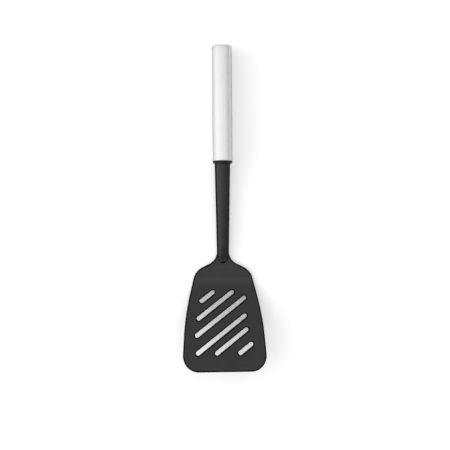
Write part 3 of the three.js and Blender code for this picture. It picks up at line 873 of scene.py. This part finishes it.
def cut_slots(head, shape):
    """Cut the slots through the blade and round their edges, the upper ones more than the lower ones."""
    settings = shape.sizes
    combine(head, "DIFFERENCE", slot_cutter(settings))
    lines = slot_lines(settings)
    radius = settings.slot_width / 2
    rim = radius + SLOT_RIM_REACH * settings.slot_edge

    def on_edge(edge, upper):
        """Whether an edge runs round a slot on the blade's upper or lower face."""
        if not edge.is_manifold or edge.calc_face_angle(0) < EDGE_ANGLE:
            return False
        if any(abs(from_slot(vertex.co.xy, lines) - radius) > SLOT_WALL_GAP for vertex in edge.verts):
            return False
        start, end = (vertex.co for vertex in edge.verts)
        middle = (at(shape.underside, start.y) + at(shape.blade_top, start.y)) / 2
        return (start.xy - end.xy).length > NEARBY and (start.z > middle) == upper

    def on_rim(face):
        """Whether a face belongs to a slot's wall or to the rounding of its edges."""
        places = [face.calc_center_median(), *(vertex.co for vertex in face.verts)]
        return all(from_slot(place.xy, lines) < rim for place in places)

    edit(head)
    for upper, rounding in ((True, settings.slot_edge), (False, settings.slot_under)):
        pick(head, "edges", lambda edge: on_edge(edge, upper))
        round_edges(rounding, SLOT_SEGMENTS, clamp_overlap=False)
    # The slots' walls and roundings get the painted shade of the rims.
    pick(head, "faces", on_rim)
    for face in bmesh.from_edit_mesh(head.data).faces:
        if face.select:
            face.material_index = PAINTED_SHADE_SLOT
    bmesh.update_edit_mesh(head.data)
    bpy.ops.mesh.select_all(action="SELECT")
    bpy.ops.mesh.dissolve_degenerate(threshold=SAME_POINT)
    close_edit()


class SPATULA_OT_head(bpy.types.Operator):
    """Model the nylon head: blade, neck, shaft and tang in one moulding"""

    bl_idname = "spatula.head"
    bl_label = "Head"

    def execute(self, context):
        settings = context.scene.spatula_head
        shape = HeadShape(settings)
        head = loft_head(shape)
        add_tang(head, settings)
        cut_slots(head, shape)
        grained = moulded_plastic("nylon_glass_filled_grained", settings.nylon, GRAINED_FINISH)
        # A darker, duller copy of the nylon, painted on the rims, flanks, slot rims and nose as shade
        painted_shade_nylon = moulded_plastic("nylon_glass_filled_smooth_flank", settings.flank, PAINTED_SHADE_FINISH)
        finish_piece(head, (grained, painted_shade_nylon), "spatula_head")
        return {"FINISHED"}


class SPATULA_OT_stage(bpy.types.Operator):
    """Set up the paper floor, the light and the camera"""

    bl_idname = "spatula.stage"
    bl_label = "Stage"

    def execute(self, context):
        settings = context.scene.spatula_stage
        self.make_floor(settings)
        self.make_world(context, settings)
        self.make_camera(context, settings)
        context.scene.view_settings.view_transform = "Standard"
        return {"FINISHED"}

    def make_floor(self, settings):
        """Matt white paper, which takes the tool's soft shadow."""
        select_nothing()
        bpy.ops.mesh.primitive_plane_add(size=FLOOR_SIZE)
        floor = settle("paper_floor")
        material, tree = new_material("paper_sweep_matt")
        paper = shader(tree, "ShaderNodeBsdfDiffuse", {"Color": (*settings.floor, 1)})
        # The paper's glow makes the ground white. The eye sees all of it and a reflection a share of it.
        camera, mirrored = seen_rays(tree)
        seen = shader(tree, "ShaderNodeMath",
                      {0: mirrored, 1: MIRRORED_GLOW, 2: camera}, operation="MULTIPLY_ADD")
        strength = shader(tree, "ShaderNodeMath",
                          {0: seen.outputs["Value"], 1: settings.glow}, operation="MULTIPLY")
        glow = shader(tree, "ShaderNodeEmission", {"Strength": strength.outputs["Value"]})
        glowing = shader(tree, "ShaderNodeAddShader", {0: paper.outputs["BSDF"], 1: glow.outputs["Emission"]})
        # The paper shows from above only, so that the tool's underside can be looked at too.
        side = shader(tree, "ShaderNodeNewGeometry")
        clear = shader(tree, "ShaderNodeBsdfTransparent")
        both = shader(tree, "ShaderNodeMixShader",
                      {0: side.outputs["Backfacing"], 1: glowing.outputs["Shader"], 2: clear.outputs["BSDF"]})
        shader(tree, "ShaderNodeOutputMaterial", {"Surface": both.outputs["Shader"]})
        floor.data.materials.append(material)

    def tent_shown(self, tree, settings, x, y):
        """The tent as a reflection shows it, which shades the steel across and gives the nylon its sheen."""
        set_back = shader(tree, "ShaderNodeMath",
                          {0: x, 1: settings.tent_slant}, operation="MULTIPLY", use_clamp=True)
        slanted = shader(tree, "ShaderNodeMath", {0: y, 1: set_back.outputs["Value"]}, operation="SUBTRACT")
        product = shader(tree, "ShaderNodeMath", {0: x, 1: y}, operation="MULTIPLY")
        cornerwise = shader(tree, "ShaderNodeMath", {0: product.outputs["Value"]}, operation="ABSOLUTE")
        fades = {
            "left": (x, LEFT_FADE, settings.tent_left, settings.tent_top, "LINEAR"),
            "right": (x, RIGHT_FADE, 1.0, settings.tent_right, "SMOOTHSTEP"),
            "front": (slanted.outputs["Value"], FRONT_FADE, settings.tent_front, 1.0, "SMOOTHSTEP"),
            "low_front": (y, LOW_FRONT_FADE, LOW_FRONT_SHARE, 0.0, "LINEAR"),
            "corners": (cornerwise.outputs["Value"], CORNER_FADE, 0.0, 1.0, "SMOOTHSTEP"),
            "back": (y, BACK_FADE, 1.0, settings.tent_back, "SMOOTHSTEP"),
            "low_back": (y, LOW_BACK_FADE, 0.0, 1.0, "SMOOTHSTEP"),
        }
        light = {}
        for name, (value, (start, end), first, last, kind) in fades.items():
            fade = shader(tree, "ShaderNodeMapRange",
                          {"Value": value, "From Min": start, "From Max": end,
                           "To Min": first, "To Max": last}, interpolation_type=kind)
            light[name] = fade.outputs["Result"]
        # The tent is bright again low in front, in the corners and low at the back. Its four sides multiply.
        joins = (
            ("front", "low_front", "MAXIMUM"),
            ("front", "corners", "MAXIMUM"),
            ("back", "low_back", "MAXIMUM"),
            ("left", "right", "MULTIPLY"),
            ("front", "back", "MULTIPLY"),
            ("left", "front", "MULTIPLY"))
        for name, other, operation in joins:
            joined = shader(tree, "ShaderNodeMath", {0: light[name], 1: light[other]}, operation=operation)
            light[name] = joined.outputs["Value"]
        return light["left"]

    def tent_given(self, tree, settings, x):
        """The light that the tent gives to matt surfaces: even all round, and more from low on the left."""
        leftwards = shader(tree, "ShaderNodeMath", {0: x, 1: -1.0}, operation="MULTIPLY", use_clamp=True)
        low_left = shader(tree, "ShaderNodeMath",
                          {0: leftwards.outputs["Value"], 1: SIDE_POWER}, operation="POWER")
        given = shader(tree, "ShaderNodeMath",
                       {0: low_left.outputs["Value"], 1: settings.side, 2: settings.fill},
                       operation="MULTIPLY_ADD")
        return given.outputs["Value"]

    def make_world(self, context, settings):
        """A white light tent, which is plain white to the eye."""
        world = bpy.data.worlds.new("light_tent")
        world.use_nodes = True
        tree = world.node_tree
        tree.nodes.clear()
        direction = shader(tree, "ShaderNodeTexCoord")
        parts = shader(tree, "ShaderNodeSeparateXYZ", {"Vector": direction.outputs["Generated"]})
        shown = self.tent_shown(tree, settings, parts.outputs["X"], parts.outputs["Y"])
        given = self.tent_given(tree, settings, parts.outputs["X"])
        camera, mirrored = seen_rays(tree)
        lit = shader(tree, "ShaderNodeMapRange", {"Value": mirrored, "To Min": given, "To Max": shown})
        strength = shader(tree, "ShaderNodeMapRange",
                          {"Value": camera, "To Min": lit.outputs["Result"], "To Max": 1.0})
        tent = shader(tree, "ShaderNodeBackground",
                      {"Color": (1, 1, 1, 1), "Strength": strength.outputs["Result"]})
        shader(tree, "ShaderNodeOutputWorld", {"Surface": tent.outputs["Background"]})
        # The tent is found by the bounced rays alone, so that each kind of ray meets its own part of it.
        world.cycles.sampling_method = "NONE"
        context.scene.world = world

    def make_camera(self, context, settings):
        """A camera that looks down on the tool from a little to its left."""
        data = bpy.data.cameras.new("camera")
        data.lens = settings.lens_mm
        data.sensor_width = SENSOR_MM
        camera = bpy.data.objects.new("camera", data)
        camera.location = (settings.camera_x, settings.camera_y, AXIS_Z + settings.camera_height)
        camera.rotation_euler = (0, settings.tilt, settings.roll)
        context.collection.objects.link(camera)
        context.scene.camera = camera


class SPATULA_PT_sidebar(bpy.types.Panel):
    """Lists the pieces of the spatula and their settings"""

    bl_label = "Pancake spatula"
    bl_space_type = "VIEW_3D"
    bl_region_type = "UI"
    bl_category = "Spatula"

    def draw(self, context):
        for operator in OPERATORS:
            self.layout.operator(operator.bl_idname)
        for name in SETTINGS:
            settings = getattr(context.scene, name)
            box = self.layout.box()
            for key in settings.__annotations__:
                box.prop(settings, key)


OPERATORS = (SPATULA_OT_stage, SPATULA_OT_handle_tube, SPATULA_OT_end_cap, SPATULA_OT_collar_ring,
             SPATULA_OT_tang_core, SPATULA_OT_head)
SETTINGS = {"spatula_handle": HandleSettings, "spatula_head": HeadSettings, "spatula_stage": StageSettings}
CLASSES = (*SETTINGS.values(), *OPERATORS, SPATULA_PT_sidebar)


def register():
    """Register the classes, and hang their settings on the scene."""
    for cls in CLASSES:
        bpy.utils.register_class(cls)
    for name, group in SETTINGS.items():
        setattr(bpy.types.Scene, name, PointerProperty(type=group))


def unregister():
    """Take the settings and the classes away again."""
    for name in SETTINGS:
        delattr(bpy.types.Scene, name)
    for cls in reversed(CLASSES):
        bpy.utils.unregister_class(cls)


def main():
    """Build the stage and every piece."""
    register()
    bpy.ops.spatula.stage()
    bpy.ops.spatula.handle_tube()
    bpy.ops.spatula.end_cap()
    bpy.ops.spatula.collar_ring()
    bpy.ops.spatula.tang_core()
    bpy.ops.spatula.head()


if __name__ == "__main__":
    main()
